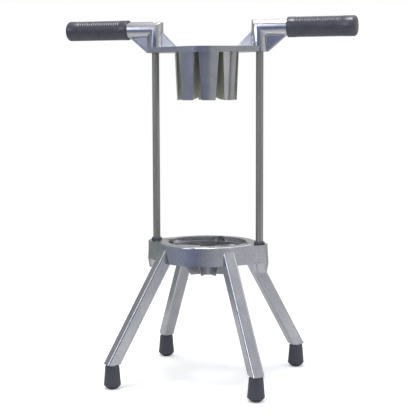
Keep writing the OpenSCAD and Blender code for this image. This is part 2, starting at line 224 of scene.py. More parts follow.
# %% Linished casting
def linished(tree, place):
    patches = tree.noise(place, 28.0, 3.0, 0.6)
    speckle = tree.noise(place, 620.0, 2.0, 0.7)
    pits = tree.noise(place, 1500.0, 1.0).between(0.66, 0.74)
    drag = tree.noise(tree.stretched(place, (90.0, 90.0, 900.0)), 1.0, 3.0)
    shade = tree.colour_mix(patches.between(0.3, 0.7), (0.66, 0.675, 0.70), (0.80, 0.80, 0.80))
    shade = tree.colour_mix(speckle.between(0.42, 0.62) * 0.35, shade, (0.52, 0.53, 0.56))
    shade = tree.colour_mix(pits * 0.5, shade, (0.33, 0.33, 0.35))
    relief = speckle * 0.7 + drag * 0.3 - pits * 0.6
    # The inner gussets: above the plate, between the posts and under the slanted edge
    x, _, z = tree.axes(place)
    from_middle = x.math("ABSOLUTE")
    skin = ((rod_x - ARM_R) * MM - from_middle > 0.0) * (z > (plate_top + SKIN_MARGIN) * MM)
    skin = skin * (gusset_slant * MM + from_middle - z > 0.0)
    grit = tree.noise(place, 1100.0, 2.0, 0.8)
    shade = tree.colour_mix(skin, shade, (0.86, 0.87, 0.90))
    return {
        "Base Color": shade,
        "Roughness": 0.12 + patches * 0.08 + speckle * 0.10 + skin * 0.25,
        "Normal": tree.bump(relief + skin * grit * 4.0, 0.30, 0.00008),
    }


cast_aluminium = surface("linished_casting", {"Metallic": 1.0}, linished)

# %% [markdown]
# The pusher kept its sand-cast skin. It is the same metal, but grainy and duller, so the grain
# is coarser and deeper than on the linished faces. The walls that the saw left between the
# fingers are matt, with painted shade: darker and a little olive. A point counts as sawn when
# it lies far enough inside the pusher's tapered outside, so no face has to be picked by hand.

# %% Sand-cast skin
def sand_skin(tree, place):
    grain = tree.noise(place, 900.0, 3.0, 0.7)
    lumps = tree.noise(place, 140.0, 2.0)
    patches = tree.noise(place, 35.0, 2.0)
    bright = tree.noise(place, 700.0, 1.0).between(0.68, 0.74)
    shade = tree.colour_mix(patches.between(0.35, 0.65), (0.62, 0.64, 0.66), (0.74, 0.74, 0.74))
    shade = tree.colour_mix(grain.between(0.4, 0.6) * 0.35, shade, (0.46, 0.47, 0.50))
    shade = tree.colour_mix(bright, shade, (0.85, 0.85, 0.86))
    x, y, z = tree.axes(place)
    taper = (PUSHER_TOP_R - PUSHER_LOW_R) / FINGER_LENGTH
    wall = z * taper + (PUSHER_LOW_R - finger_z * taper - FINGER_ROUND) * MM
    sawn = (wall - (x * x + y * y).math("SQRT")).between(0.0, 1.2 * MM)
    # Painted shade in the gaps: the walls between the fingers are darker and a little olive
    painted_gap_shade = tree.colour_mix(grain, (0.33, 0.34, 0.27), (0.43, 0.44, 0.36))
    shade = tree.colour_mix(sawn, shade, painted_gap_shade)
    return {
        "Base Color": shade,
        "Metallic": 1.0 - sawn * 0.75,
        "Roughness": 0.17 + grain * 0.12 - bright * 0.08 + sawn * 0.2,
        "Normal": tree.bump(grain * 0.6 + lumps * 0.8, 0.30, 0.00012),
    }


cast_skin = surface("sand_cast_skin", {}, sand_skin)

# %% [markdown]
# The guide rods are ground bar: dull grey steel with fine marks that run round the bar and
# long faint rub lines from the bushings. Both are stretched noise.

# %% Ground rod
def ground_rod(tree, place):
    turning = tree.noise(tree.stretched(place, (60.0, 60.0, 2600.0)), 1.0, 2.0)
    rubbing = tree.noise(tree.stretched(place, (900.0, 900.0, 9.0)), 1.0, 3.0)
    shade = tree.colour_mix(rubbing.between(0.35, 0.7), (0.38, 0.385, 0.35), (0.56, 0.56, 0.50))
    return {
        "Base Color": shade,
        "Roughness": 0.36 + turning * 0.16,
        "Normal": tree.bump(turning, 0.2, 0.00005),
    }


rod_steel = surface("ground_rod_steel", {"Metallic": 1.0}, ground_rod)

# %% [markdown]
# The blades, their frame and the corer tube are stainless strip. The strip is bright and a
# little stained, and grinding leaves marks that run along each blade's height, so the noise is
# stretched upright. An image of scratches would need unwrapping and gives nothing more.

# %% Ground blade strip
def blade_strip(tree, place):
    marks = tree.noise(tree.stretched(place, (500.0, 500.0, 40.0)), 1.0, 3.0, 0.6)
    stains = tree.noise(place, 60.0, 3.0)
    shade = tree.colour_mix(stains.between(0.45, 0.7), (0.60, 0.61, 0.62), (0.47, 0.47, 0.45))
    return {
        "Base Color": shade,
        "Roughness": 0.22 + marks * 0.2,
        "Normal": tree.bump(marks, 0.25, 0.00006),
    }


blade_steel = surface("ground_blade_steel", {"Metallic": 1.0}, blade_strip)

# %% [markdown]
# The screws carry a patchy film of oil, and the bushings are bronze sintered from powder, with
# open pores. Both are small and half hidden, so one noise for each is enough.

# %% Oiled screws and sintered bushings
def oiled(tree, place):
    film = tree.noise(place, 420.0, 2.0)
    shade = tree.colour_mix(film, (0.16, 0.165, 0.17), (0.30, 0.31, 0.32))
    return {
        "Base Color": shade,
        "Roughness": 0.30 + film * 0.2,
        "Normal": tree.bump(film, 0.2, 0.00008),
    }


def sintered(tree, place):
    pores = tree.noise(place, 2200.0, 2.0).between(0.45, 0.6)
    shade = tree.colour_mix(pores, (0.55, 0.38, 0.20), (0.70, 0.52, 0.30))
    return {
        "Base Color": shade,
        "Roughness": 0.45 - pores * 0.1,
        "Normal": tree.bump(pores, 0.3, 0.00006),
    }


screw_steel = surface("oiled_screw_steel", {"Metallic": 1.0}, oiled)
bushing_bronze = surface("sintered_bronze", {"Metallic": 1.0}, sintered)

# %% [markdown]
# Grips and feet are moulded rubber. It looks black by itself but slate grey under a bright sky,
# because its skin has a broad sheen. A fine mould grain and a little dust in it keep the large
# faces from looking like plastic.

# %% Moulded rubber
def moulded(tree, place):
    grain = tree.noise(place, 1700.0, 2.0, 0.6)
    cloud = tree.noise(place, 55.0, 3.0, 0.6)
    dust = cloud.between(0.45, 0.75) * grain.between(0.4, 0.6)
    shade = tree.colour_mix(cloud, (0.050, 0.052, 0.069), (0.066, 0.067, 0.086))
    shade = tree.colour_mix(dust * 0.3, shade, (0.12, 0.12, 0.135))
    return {
        "Base Color": shade,
        "Roughness": 0.25 + grain * 0.08,
        "Normal": tree.bump(grain, 0.10, 0.00004),
    }


black_rubber = surface("moulded_rubber", {"Specular IOR Level": 0.5}, moulded)
bumper_rubber = surface("soft_bumper_rubber", {"Specular IOR Level": 0.35}, moulded)

# %% [markdown]
# From here on pieces are modelled as at the screen: a primitive at its size and place, some
# edit-mode work, a few modifiers. These helpers each do one such move and leave the piece with
# its origin at the table's middle, where the frame wants it.

# %% Moves shared by the pieces
def only(piece):
    """Selects one object and nothing else."""
    if bpy.context.object and bpy.context.object.mode != "OBJECT":
        bpy.ops.object.mode_set(mode="OBJECT")
    bpy.ops.object.select_all(action="DESELECT")
    piece.select_set(True)
    bpy.context.view_layer.objects.active = piece


def settled(name):
    """Puts the newest primitive's place and turn into its mesh."""
    piece = bpy.context.object
    piece.name = name
    bpy.ops.object.transform_apply(location=True, rotation=True, scale=True)
    return piece


def new_start():
    if bpy.context.object and bpy.context.object.mode != "OBJECT":
        bpy.ops.object.mode_set(mode="OBJECT")
    bpy.ops.object.select_all(action="DESELECT")


def cylinder(name, radius, low, high, x=0.0, y=0.0, top_radius=None, sides=96):
    """Upright cylinder or cone between two heights, all in millimetres."""
    new_start()
    bpy.ops.mesh.primitive_cone_add(
        vertices=sides,
        radius1=radius * MM,
        radius2=(radius if top_radius is None else top_radius) * MM,
        depth=(high - low) * MM,
        location=Vector((x, y, (low + high) / 2)) * MM,
    )
    return settled(name)


def block(name, low, high):
    """Box between two corners, in millimetres."""
    low, high = Vector(low), Vector(high)
    new_start()
    bpy.ops.mesh.primitive_cube_add(size=1.0, location=(low + high) / 2 * MM)
    bpy.context.object.scale = (high - low) * MM
    return settled(name)


def pick_faces(piece, wanted):
    """Opens the piece in edit mode with only the wanted faces selected."""
    only(piece)
    bpy.ops.object.mode_set(mode="EDIT")
    bpy.ops.mesh.select_mode(type="FACE")
    bpy.ops.mesh.select_all(action="DESELECT")
    bpy.ops.object.mode_set(mode="OBJECT")
    for face in piece.data.polygons:
        face.select = bool(wanted(face))
    bpy.ops.object.mode_set(mode="EDIT")


def scale_faces(piece, wanted, factors, about):
    pick_faces(piece, wanted)
    bpy.ops.transform.resize(value=factors, center_override=Vector(about) * MM)
    bpy.ops.object.mode_set(mode="OBJECT")


def slice_off(piece, point, outwards):
    """Cuts along a plane, drops what lies outwards of it and closes the cut."""
    only(piece)
    bpy.ops.object.mode_set(mode="EDIT")
    bpy.ops.mesh.select_all(action="SELECT")
    bpy.ops.mesh.bisect(
        plane_co=Vector(point) * MM, plane_no=outwards, use_fill=True, clear_outer=True
    )
    bpy.ops.object.mode_set(mode="OBJECT")


def turned(piece, angle, axis="Z", about=(0, 0, 0)):
    """Turns a piece's mesh about a point."""
    only(piece)
    shift = Matrix.Translation(Vector(about) * MM)
    piece.matrix_world = shift @ Matrix.Rotation(angle, 4, axis) @ shift.inverted()
    bpy.ops.object.transform_apply(location=True, rotation=True, scale=True)
    return piece


def moved(piece, x=0.0, y=0.0, z=0.0):
    """Moves a piece's mesh, in millimetres."""
    only(piece)
    piece.location = Vector((x, y, z)) * MM
    bpy.ops.object.transform_apply(location=True, rotation=True, scale=True)
    return piece


def copied(piece, name):
    """A copy with a mesh of its own."""
    only(piece)
    bpy.ops.object.duplicate()
    bpy.context.object.name = name
    return bpy.context.object


def apply_modifier(piece, kind, **settings):
    only(piece)
    modifier = piece.modifiers.new(kind.lower(), kind)
    for key, value in settings.items():
        setattr(modifier, key, value)
    bpy.ops.object.modifier_apply(modifier=modifier.name)


def combine(piece, tool, operation):
    """UNION or DIFFERENCE with another piece, which is used up."""
    apply_modifier(piece, "BOOLEAN", operation=operation, solver="MANIFOLD", object=tool)
    bpy.data.objects.remove(tool, do_unlink=True)


def add(piece, *tools):
    for tool in tools:
        combine(piece, tool, "UNION")


def cut(piece, *tools):
    for tool in tools:
        combine(piece, tool, "DIFFERENCE")


def round_edges(piece, width, steps=3, angle=32):
    """Rounds the edges sharper than angle."""
    only(piece)
    bpy.ops.object.mode_set(mode="EDIT")
    bpy.ops.mesh.select_all(action="SELECT")
    bpy.ops.mesh.remove_doubles(threshold=0.002 * MM)
    bpy.ops.mesh.dissolve_limited(angle_limit=radians(0.1))
    bpy.ops.object.mode_set(mode="OBJECT")
    apply_modifier(
        piece, "BEVEL", width=width * MM, segments=steps, limit_method="ANGLE",
        angle_limit=radians(angle), miter_outer="MITER_ARC",
    )


def smooth_out(piece, smooth=40):
    """Smooth shading across edges flatter than smooth, led by the large faces."""
    only(piece)
    bpy.ops.object.shade_smooth_by_angle(angle=radians(smooth))
    apply_modifier(piece, "WEIGHTED_NORMAL", weight=50, keep_sharp=True)


def soften(piece, width, steps=3, angle=32, smooth=40):
    """Rounds the edges and keeps the flat faces flat."""
    round_edges(piece, width, steps, angle)
    smooth_out(piece, smooth)


def lathe(name, profile, sides=64):
    """Spins an outline of (radius, height) points, in millimetres, about the Z axis."""
    new_start()
    first = Vector((profile[0][0], 0, profile[0][1])) * MM
    bpy.ops.mesh.primitive_plane_add(size=MM, location=first)
    piece = settled(name)
    bpy.ops.object.mode_set(mode="EDIT")
    bpy.ops.mesh.select_mode(type="VERT")
    bpy.ops.mesh.select_all(action="SELECT")
    bpy.ops.mesh.merge(type="CENTER")
    for before, after in zip(profile[:-1], profile[1:]):
        step = Vector((after[0] - before[0], 0, after[1] - before[1])) * MM
        bpy.ops.mesh.extrude_vertices_move(TRANSFORM_OT_translate={"value": step})
    bpy.ops.mesh.select_all(action="SELECT")
    bpy.ops.mesh.spin(steps=sides, angle=2 * pi, center=(0, 0, 0), axis=(0, 0, 1))
    bpy.ops.mesh.select_all(action="SELECT")
    bpy.ops.mesh.remove_doubles(threshold=0.005 * MM)
    bpy.ops.mesh.normals_make_consistent(inside=False)
    bpy.ops.object.mode_set(mode="OBJECT")
    return piece


def arc(radius, height, r, start, end, steps=6):
    """Points of an arc about (radius, height), from one angle in degrees to another."""
    turns = [radians(start + (end - start) * i / steps) for i in range(steps + 1)]
    return [(radius + r * cos(t), height + r * sin(t)) for t in turns]


def place_in_frame(piece, node, material, body):
    """Gives the piece its finish and its body in the frame, and hides the node it stands for."""
    piece.data.materials.clear()
    piece.data.materials.append(material)
    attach(piece, body)
    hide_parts(node)
    print(piece.name, len(piece.data.polygons), "faces, stands for", node)


# %% [markdown]
# The legs come first, because they set the lean. Each is a square bar with rounded edges, cut
# level at the foot and let into the ring at the top, with a turned spigot for the rubber foot.
# One leg is modelled along +X, and the four are turned copies.

# %% Sizes of the stand
foot_low, foot_high = [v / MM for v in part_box("foot_front_right")]
foot_reach = hypot((foot_low.x + foot_high.x) / 2, (foot_low.y + foot_high.y) / 2)
foot_top = foot_high.z
leg_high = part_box("leg_front_right")[1] / MM
base_low, base_high = [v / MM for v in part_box("base_casting")]
RING_R = 57.5
RING_HEIGHT = 21.9
BORE_R = 41.0
LEG_WIDTH = 14.5
LEG_EDGE_R = 2.4
SPIGOT_R = 6.0
SPIGOT_SHOW = 1.5
LEG_RISE = 0.9
LEG_TOP_RISE = 15.9
SPIGOT_DEPTH = 6.0
# Shapes that are joined reach this far into each other
OVERLAP = 1.0
rim_z = base_high.z
ring_z = rim_z - RING_HEIGHT
leg_z = foot_top + SPIGOT_SHOW
lean = atan2(foot_reach - RING_R, ring_z + LEG_RISE - leg_z)
leg_top = ring_z + LEG_TOP_RISE
LEG_TURNS = {"front_left": 225, "front_right": 315, "rear_right": 45, "rear_left": 135}
print("feet reach", round(foot_reach, 2), "legs lean", round(degrees(lean), 2), "degrees")


# %% One leaning bar, not yet trimmed
def leaning_bar(name, width, edge_r, length):
    bar = block(name, (-width / 2, -width / 2, -width), (width / 2, width / 2, length))
    apply_modifier(bar, "BEVEL", width=edge_r * MM, segments=6, limit_method="ANGLE")
    return moved(turned(bar, -lean, "Y"), x=foot_reach, z=leg_z)


# %% Its upper end, cut to fit behind the ring's outer wall
SOCKET_WALL_R = 47.5


def trim_top(bar, gap):
    """Level at the top, and hollowed there so that the ring's throat keeps its wall."""
    slice_off(bar, (0, 0, leg_top + gap), (0, 0, 1))
    cut(bar, cylinder("throat_wall", SOCKET_WALL_R - gap, leg_high.z + gap, rim_z, sides=160))


# %% The four legs
BAR_LENGTH = 190.0
leg = leaning_bar("leg", LEG_WIDTH, LEG_EDGE_R, BAR_LENGTH)
slice_off(leg, (0, 0, leg_z), (0, 0, -1))
trim_top(leg, 0.0)
spigot_low, spigot_high = foot_top - SPIGOT_DEPTH, leg_z + 2 * OVERLAP
add(leg, cylinder("spigot", SPIGOT_R, spigot_low, spigot_high, x=foot_reach, sides=48))
soften(leg, 0.35, steps=2, angle=38)
for corner, turn in LEG_TURNS.items():
    bar = turned(copied(leg, f"leg_bar_{corner}"), radians(turn))
    place_in_frame(bar, f"leg_{corner}", cast_aluminium, "stand")
bpy.data.objects.remove(leg, do_unlink=True)

# %% [markdown]
# The feet are rubber caps: a cone that widens downwards, a chamfer at the bottom with a slight
# bulge, and a rounded lip at the top that closes round the spigot. A lathe outline is the
# natural way, because the mould for it was turned as well.

# %% Four rubber feet
FOOT_TOP_R = 8.1
FOOT_R = 9.9
FOOT_FLAT_R = 4.5
FOOT_BEVEL_HEIGHT = 5.0
FOOT_BULGE = 0.3
FOOT_LIP = 1.0
foot_outline = [(0, 0.25), (FOOT_FLAT_R - 1.4, 0.25), (FOOT_FLAT_R - 0.9, 0.0)]
for share in (0.0, 0.17, 0.33, 0.5, 0.67, 0.83):
    out = FOOT_BULGE * sin(share * pi)
    across = FOOT_FLAT_R + (FOOT_R - FOOT_FLAT_R) * share + out
    foot_outline.append((across, FOOT_BEVEL_HEIGHT * share - out))
foot_outline += arc(FOOT_R - 0.7, FOOT_BEVEL_HEIGHT + 0.2, 0.7, -40, 0, 4)
foot_outline += arc(FOOT_TOP_R - FOOT_LIP, foot_top - FOOT_LIP, FOOT_LIP, 5, 90)
foot_outline += arc(SPIGOT_R + 0.45, foot_top - 0.4, 0.4, 90, 180, 3)
foot_outline += [(SPIGOT_R + 0.05, foot_top - 5), (0, foot_top - 5)]
foot = lathe("foot", foot_outline, sides=72)
only(foot)
bpy.ops.object.shade_smooth_by_angle(angle=radians(35))
moved(foot, x=foot_reach)
for corner, turn in LEG_TURNS.items():
    cap = turned(copied(foot, f"rubber_foot_{corner}"), radians(turn))
    place_in_frame(cap, f"foot_{corner}", black_rubber, "stand")
bpy.data.objects.remove(foot, do_unlink=True)

# %% [markdown]
# The base ring is one casting: a deep ring, two ears that run out on tangents to the rods, and
# a round boss under each rod. It is built as its maker's pattern was, by adding the lumps,
# cutting the openings, and rounding all edges at the end. The bevel catches the light along
# the rim, which is the first thing the eye sees on it.

# %% Sizes shared by ring and head plate
# A cutter runs this far past the metal, and a hair lower than a face that it would else share
PAST = 5.0
HAIR = 0.01
EAR_SETBACK = 0.03
ROD_GAP = 0.05
rod_r = (rod_high.x - rod_low.x) / 2
BOSS_R = 9.25
BOSS_WIDE_R = 10.75
BOSS_LOW_R = 9.0
RIM_RISE = 0.6
RIM_ROUND = 1.8
THROAT_R = 46.0
NOTCH_R = 52.0
LEDGE_DEPTH = 9.3
print("rods are", round(2 * rod_r, 2), "across")


# %% A plate that narrows along tangents from a round middle to each rod
def ear_ends(middle_r, end_r):
    """Where the tangent leaves the round middle, and where it meets the rounded end."""
    turn = acos((middle_r - end_r) / rod_x)
    way = Vector((cos(turn), sin(turn)))
    return way * middle_r, Vector((rod_x, 0)) + way * end_r


def tangent_ears(name, middle_r, end_r, low, high, low_end_r=None):
    """Both ears; with low_end_r their walls spread a little downwards."""
    start, end = ear_ends(middle_r, end_r - EAR_SETBACK)
    low_end = ear_ends(middle_r, (low_end_r or end_r) - EAR_SETBACK)[1]
    ears = []
    for side in (-1, 1):
        xs = sorted((side * start.x, side * end.x))
        ear = block(name, (xs[0], -start.y, low), (xs[1], start.y, high))
        narrowing = (1, end.y / start.y, 1)
        scale_faces(ear, lambda face: face.normal.x * side > 0.9, narrowing, (0, 0, 0))
        for vertex in ear.data.vertices:
            at_tip = abs(vertex.co.x - side * end.x * MM) < 0.1 * MM
            vertex.select = at_tip and vertex.co.z < (low + 1) * MM
        spread = (low_end.x / end.x, low_end.y / end.y, 1)
        bpy.ops.object.mode_set(mode="EDIT")
        bpy.ops.mesh.select_mode(type="VERT")
        bpy.ops.transform.resize(value=spread, center_override=Vector((0, 0, low)) * MM)
        bpy.ops.mesh.select_all(action="SELECT")
        bpy.ops.mesh.quads_convert_to_tris()
        bpy.ops.object.mode_set(mode="OBJECT")
        ears.append(ear)
    return ears


# %% Ring, ears and bosses
ear_z = rim_z - RIM_RISE
ring_outline = [(0, ring_z), (RING_R, ring_z)]
ring_outline += arc(RING_R - RIM_ROUND, rim_z - RIM_ROUND, RIM_ROUND, 0, 90) + [(0, rim_z)]
ring = lathe("base_ring", ring_outline, sides=160)
add(ring, *tangent_ears("ear", RING_R, BOSS_R, ring_z, ear_z, BOSS_WIDE_R))
boss_outline = [(0, base_low.z), (BOSS_LOW_R, base_low.z), (BOSS_WIDE_R, ring_z - 0.03)]
boss_outline += [(BOSS_R, ear_z), (0, ear_z)]
for side in (-1, 1):
    add(ring, moved(lathe("boss", boss_outline, sides=96), x=side * rod_x))
print("ring with ears and bosses has", len(ring.data.polygons), "faces")

# %% Its openings
cut(ring, cylinder("bore", BORE_R, base_low.z, rim_z + PAST, sides=160))
throat_z = rim_z - LEDGE_DEPTH
notch = block("notch", (-NOTCH_R, -NOTCH_R, throat_z), (NOTCH_R, NOTCH_R, rim_z + PAST))
notch = turned(notch, radians(45))
only(notch)
notch.scale = (1 / sqrt(2), 1 / sqrt(2), 1)
bpy.ops.object.transform_apply(location=True, rotation=True, scale=True)
cut(ring, cylinder("throat", THROAT_R, throat_z, rim_z + PAST, sides=160), notch)
boss_low = base_low.z - PAST
for side in (-1, 1):
    cut(ring, cylinder("rod_bore", rod_r + ROD_GAP, boss_low, rim_z, x=side * rod_x, sides=48))
print("and with its openings", len(ring.data.polygons))

# %% [markdown]
# The legs' sockets and the screws' holes are cut after the edges are rounded. A rounded edge
# there would leave a groove round each leg, where the real bars end flush in the ring's wall.

# %% Soft edges, and then the tight fits, which stay sharp
round_edges(ring, 0.9, steps=3, angle=34)
SOCKET_GAP = 0.03
LEG_SCREW_HEAD_R = 4.75
SINK_DEPTH = 4.6
SINK_SETBACK = 0.6
SET_SCREW_HOLE_R = 2.55
leg_screw_low, leg_screw_high = [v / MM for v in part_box("leg_screws")]
leg_screw_z = (leg_screw_low.z + leg_screw_high.z) / 2
set_screw_low, set_screw_high = [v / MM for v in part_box("rod_set_screws")]
set_screw_z = (set_screw_low.z + set_screw_high.z) / 2
socket = leaning_bar("socket", LEG_WIDTH + 2 * SOCKET_GAP, LEG_EDGE_R + SOCKET_GAP, BAR_LENGTH)
slice_off(socket, (0, 0, ring_z - 3), (0, 0, -1))
trim_top(socket, SOCKET_GAP)
for turn in LEG_TURNS.values():
    cut(ring, turned(copied(socket, "leg_socket"), radians(turn)))
bpy.data.objects.remove(socket, do_unlink=True)
sink_outline = [(0, -SINK_DEPTH), (LEG_SCREW_HEAD_R, 0), (LEG_SCREW_HEAD_R, 2), (0, 2)]
for turn in LEG_TURNS.values():
    sink = turned(lathe("leg_screw_sink", sink_outline, sides=48), -pi / 2, "Y")
    moved(sink, x=BORE_R + SINK_SETBACK, z=leg_screw_z)
    cut(ring, turned(sink, radians(turn)))
for side in (-1, 1):
    hole = cylinder("set_screw_hole", SET_SCREW_HOLE_R, 5, BOSS_WIDE_R + 2, sides=48)
    cut(ring, moved(turned(hole, -pi / 2, "X"), x=side * rod_x, z=set_screw_z))
smooth_out(ring)
place_in_frame(ring, "base_casting", cast_aluminium, "stand")

# %% [markdown]
# The head is a second casting: a plate like the ring's ears, and at each rod a round post that
# turns a sharp corner into the arm. The elbow is not two cylinders stuck together. The post is
# cut at 45 degrees and the slanted face is pulled out sideways, so both share one clean mitre.

# %% Sizes of the head
PLATE_R = 38.0
ARM_RISE = 27.1
MITRE_ROUND = 1.1
PLATE_DRAFT = 0.3
POST_DRAFT = 0.25
arm_z = plate_z + ARM_RISE
arm_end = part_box("head_casting")[1].x / MM
grip_low, grip_high = [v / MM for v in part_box("grip_right")]
print("plate at", round(plate_z, 2), "arms at", round(arm_z, 2), "reach", round(arm_end, 2))

# %% Plate
head = cylinder("head", PLATE_R - PLATE_DRAFT, plate_z, plate_top, top_radius=PLATE_R, sides=128)
add(head, *tangent_ears("wing", PLATE_R, ARM_R, plate_z, plate_top))
print("plate with its ears has", len(head.data.polygons), "faces")


# %% Post and arm in one
def elbow(side):
    tip_z = 2 * arm_z - plate_z
    wide, thin = ARM_R + POST_DRAFT, ARM_R - POST_DRAFT
    low_z = plate_z - 2 * OVERLAP
    post = cylinder("post", wide, low_z, tip_z, x=side * rod_x, top_radius=thin, sides=96)
    slice_off(post, (side * rod_x, 0, arm_z), (side, 0, 1))
    pick_faces(post, lambda face: face.normal.x * side > 0.6 and face.normal.z > 0.6)
    reach = arm_end - rod_x
    bpy.ops.mesh.extrude_region_move(
        TRANSFORM_OT_translate={"value": Vector((side * reach * MM, 0, 0))}
    )
    bpy.ops.transform.resize(
        value=(0, 1, 1), center_override=Vector((side * arm_end, 0, arm_z)) * MM
    )
    bpy.ops.object.mode_set(mode="OBJECT")
    apply_modifier(
        post, "BEVEL", width=MITRE_ROUND * MM, segments=3, limit_method="ANGLE",
        angle_limit=radians(50),
    )
    return post


# %% [markdown]
# Gussets stiffen the elbows: under each arm a thin web with a flange along its slanted edge,
# and on the plate a small solid web. Each is a block that reaches past its place and is sliced
# along its slant, because that leaves true flat faces for the bevel that comes later.

# %% Gussets
WEB_THICKNESS = 3.0
FLANGE_WIDTH = 7.0
FLANGE_THICKNESS = 1.8
INNER_GUSSET_WIDTH = 6.0
WEB_TO_GRIP = 1.5


def gussets(side):
    """Web and flange under the arm, and the small web on the plate."""
    foot_x, end_x = rod_x + ARM_R, grip_low.x - WEB_TO_GRIP
    under = arm_z - ARM_R + OVERLAP
    slope = Vector((end_x - foot_x, 0, under - plate_z)).normalized()
    outwards = Vector((slope.z * side, 0, -slope.x))
    made = []
    for width, inner in ((WEB_THICKNESS, None), (FLANGE_WIDTH, FLANGE_THICKNESS)):
        xs = sorted((side * rod_x, side * end_x))
        web = block("web", (xs[0], -width / 2, plate_z), (xs[1], width / 2, under))
        slice_off(web, (side * foot_x, 0, plate_z), outwards)
        if inner:
            back = Vector((side * foot_x, 0, plate_z)) - outwards * inner
            slice_off(web, back, -outwards)
        made.append(web)
    half, top = INNER_GUSSET_WIDTH / 2, plate_top + INNER_GUSSET
    xs = sorted((side * rod_x, side * (rod_x - ARM_R - INNER_GUSSET)))
    web = block("inner_web", (xs[0], -half, plate_top - OVERLAP), (xs[1], half, top))
    slice_off(web, (side * (rod_x - ARM_R), 0, top), (-side, 0, 1))
    return made + [web]


# %% [markdown]
# Plate, posts, arms and gussets become one mesh before any edge is rounded, so that the bevel
# runs over the seams as a casting's fillet does. The posts were left a little long at the
# bottom, and one cut makes the whole underside level.

# %% Head put together
bushing_low, bushing_high = [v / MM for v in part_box("rod_bushing_right")]
bushing_hole_r = (bushing_high.x - bushing_low.x) / 2 + 0.05
bushing_top = bushing_high.z + 0.05
rod_hole_r = rod_r + 0.8
SCREW_CIRCLE_R = 21.576
COUNTERSINK_DEPTH = 2.75
COUNTERSINK_LOW_R = 0.5
COUNTERSINK_TOP_R = 3.8
for side in (-1, 1):
    add(head, elbow(side), *gussets(side))
plate_low = plate_z - PAST
cut(head, block("below_plate", (-80, -20, plate_low), (80, 20, plate_z)))
for side in (-1, 1):
    at_rod = {"x": side * rod_x, "sides": 48}
    rod_hole = cylinder("rod_hole", rod_hole_r, plate_low, arm_z + 20, **at_rod)
    bushing_hole = cylinder("bushing_hole", bushing_hole_r, plate_low, bushing_top, **at_rod)
    cut(head, rod_hole, bushing_hole)
for turn in (22.5, 157.5, 202.5, 337.5):
    where = Vector((cos(radians(turn)), sin(radians(turn)))) * SCREW_CIRCLE_R
    low, high = plate_top - COUNTERSINK_DEPTH, plate_top + OVERLAP
    cut(head, cylinder(
        "countersink", COUNTERSINK_LOW_R, low, high, where.x, where.y, COUNTERSINK_TOP_R, sides=32
    ))
soften(head, 0.55, steps=2, angle=34)
place_in_frame(head, "head_casting", cast_aluminium, "press_head")

# %% [markdown]
# The pusher hangs under the plate: a tapered drum, sawn into eight fingers by four slots that
# widen downwards, hollow in the middle for the corer, and dished at the bottom so that what
# it presses centres itself. Its edges are well rounded, as the sand leaves them.

# %% Pusher
GAP_TOP = 5.5
GAP_LOW = 11.3
CORE_R = 11.0
CUP_DEPTH = 5.5
SLOT_ROOF = 0.4
pusher = cylinder("pusher", PUSHER_LOW_R, finger_z, plate_z, top_radius=PUSHER_TOP_R, sides=128)
for i in range(4):
    slot = block("slot", (-50, -0.5, finger_z), (50, 0.5, plate_z - SLOT_ROOF))
    scale_faces(slot, lambda face: face.normal.z > 0.9, (1, GAP_TOP, 1), (0, 0, 0))
    scale_faces(slot, lambda face: face.normal.z < -0.9, (1, GAP_LOW, 1), (0, 0, 0))
    cut(pusher, turned(moved(slot, z=-HAIR), radians(45 * i)))
cut(pusher, cylinder("core", CORE_R, finger_z - PAST, plate_z - SLOT_ROOF, sides=64))
cut(pusher, cylinder("cup", PUSHER_LOW_R, finger_z - HAIR, finger_z + CUP_DEPTH, top_radius=0))
soften(pusher, FINGER_ROUND, steps=3, angle=30)
place_in_frame(pusher, "pusher_block", cast_skin, "press_head")

# %% [markdown]
# The grips are moulded sleeves, pushed on the arms. Their middle has fine ribs, each with a
# rounded crest that catches a small light, and both ends stay smooth. The outline is drawn
# along the grip's axis, spun, and laid on its side.

# %% Grips
GRIP_R = 11.6
GRIP_ROUND = 4.0
RIB_COUNT = 19
RIB_PITCH = 2.85
RIB_DEPTH = 0.55
RIB_LEAD = 8.7
GRIP_BORE_R = ARM_R + 0.05
GRIP_CAP = 2
grip_length = grip_high.x - grip_low.x
grip_outline = [(0, grip_length - GRIP_CAP), (GRIP_BORE_R, grip_length - GRIP_CAP)]
grip_outline += [(GRIP_BORE_R, 1.0)] + arc(ARM_R + 0.5, 0.45, 0.45, 180, 270, 3)
grip_outline += arc(GRIP_R - 0.7, 0.7, 0.7, -90, 0, 4)
for i in range(RIB_COUNT):
    start = RIB_LEAD + i * RIB_PITCH
    for share in (0.0, 0.15, 0.3, 0.5, 0.7, 0.85):
        depth = 0.5 - 0.5 * cos(share * 2 * pi)
        grip_outline.append((GRIP_R - RIB_DEPTH * depth, start + share * RIB_PITCH))
grip_outline += arc(GRIP_R - GRIP_ROUND, grip_length - GRIP_ROUND, GRIP_ROUND, 0, 90, 8)
sleeve = lathe("sleeve", grip_outline + [(0, grip_length)], sides=72)
only(sleeve)
bpy.ops.object.shade_smooth_by_angle(angle=radians(50))
for name, side in (("left", -1), ("right", 1)):
    grip = turned(copied(sleeve, f"ribbed_grip_{name}"), side * pi / 2, "Y")
    moved(grip, x=side * grip_low.x, z=arm_z)
    place_in_frame(grip, f"grip_{name}", black_rubber, "press_head")
bpy.data.objects.remove(sleeve, do_unlink=True)

# %% [markdown]
# The rods, blades, washers, bushings and screws are plain turned or cut pieces, and the packed
# model's own solids have their true shapes, down to the ground edges and the key sockets. They
# keep their meshes and only get a finish.

# %% Finishes for the pieces that stay
finishes = {
    rod_steel: ["guide_rod_left", "guide_rod_right"],
    blade_steel: ["blade_frame", "wedge_blades", "corer_tube"],
    bumper_rubber: ["rod_bumper_left", "rod_bumper_right"],
    bushing_bronze: ["rod_bushing_left", "rod_bushing_right"],
    screw_steel: ["rod_set_screws", "leg_screws", "blade_frame_screws", "pusher_screws"],
}
for material, names in finishes.items():
    for name in names:
        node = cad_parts[name]
        node.data.materials.clear()
        node.data.materials.append(material)
        only(node)
        print(name, "finished with", material.name)

